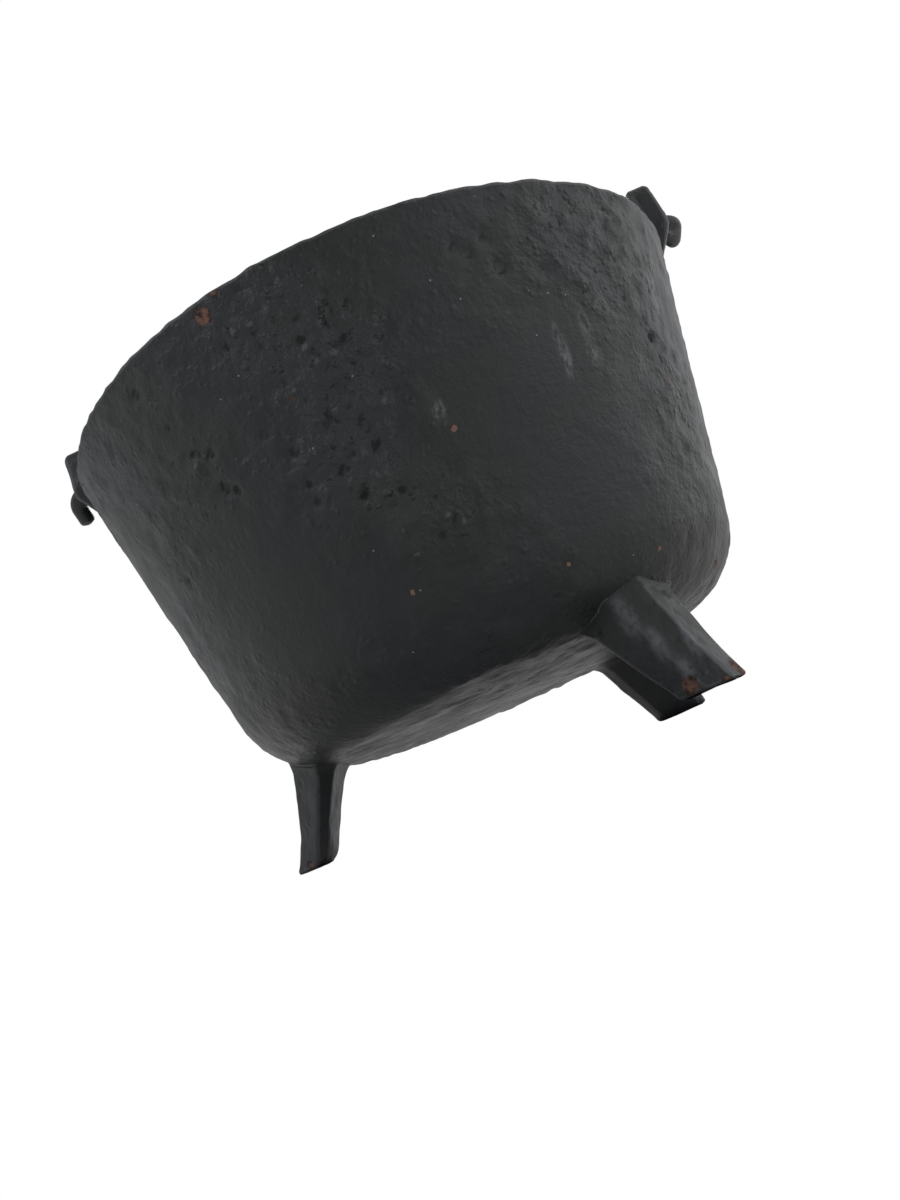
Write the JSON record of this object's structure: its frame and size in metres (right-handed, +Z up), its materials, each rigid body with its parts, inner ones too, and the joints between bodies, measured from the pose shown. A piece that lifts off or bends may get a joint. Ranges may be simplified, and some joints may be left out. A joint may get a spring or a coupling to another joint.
{
  "type": "three-legged cast-iron pot",
  "caption": "Small open cast-iron hearth pot with a tapering wall, splayed legs, an ear on each side of the rim and a swinging rod bail.",
  "frame": {"origin": "centre of the plane that the three soles stand on, under the middle of the bowl", "axes": "+Z up, +X from the middle through the right ear along the bail's hinge, +Y towards the side that the bail lies on at rest"},
  "size_m": [0.169, 0.1495, 0.1181],
  "materials": {
    "painted_casting": "satin black paint over a rough sand casting, chipped at the edges",
    "painted_rod": "satin black paint on round iron rod, rubbed at the hooks"
  },
  "bodies": {
    "pot": {"bowl": "painted_casting", "leg_left": "painted_casting", "leg_front": "painted_casting", "leg_rear": "painted_casting", "ear_left": "painted_casting", "ear_right": "painted_casting"},
    "handle": {"bail": "painted_rod"}
  },
  "joints": [
    {"name": "bail_swing", "type": "hinge", "parent": "pot", "child": "handle", "pos_m": [0, 0, 0.1085], "axis": [1, 0, 0], "range_deg": [0, 190.38]}
  ]
}
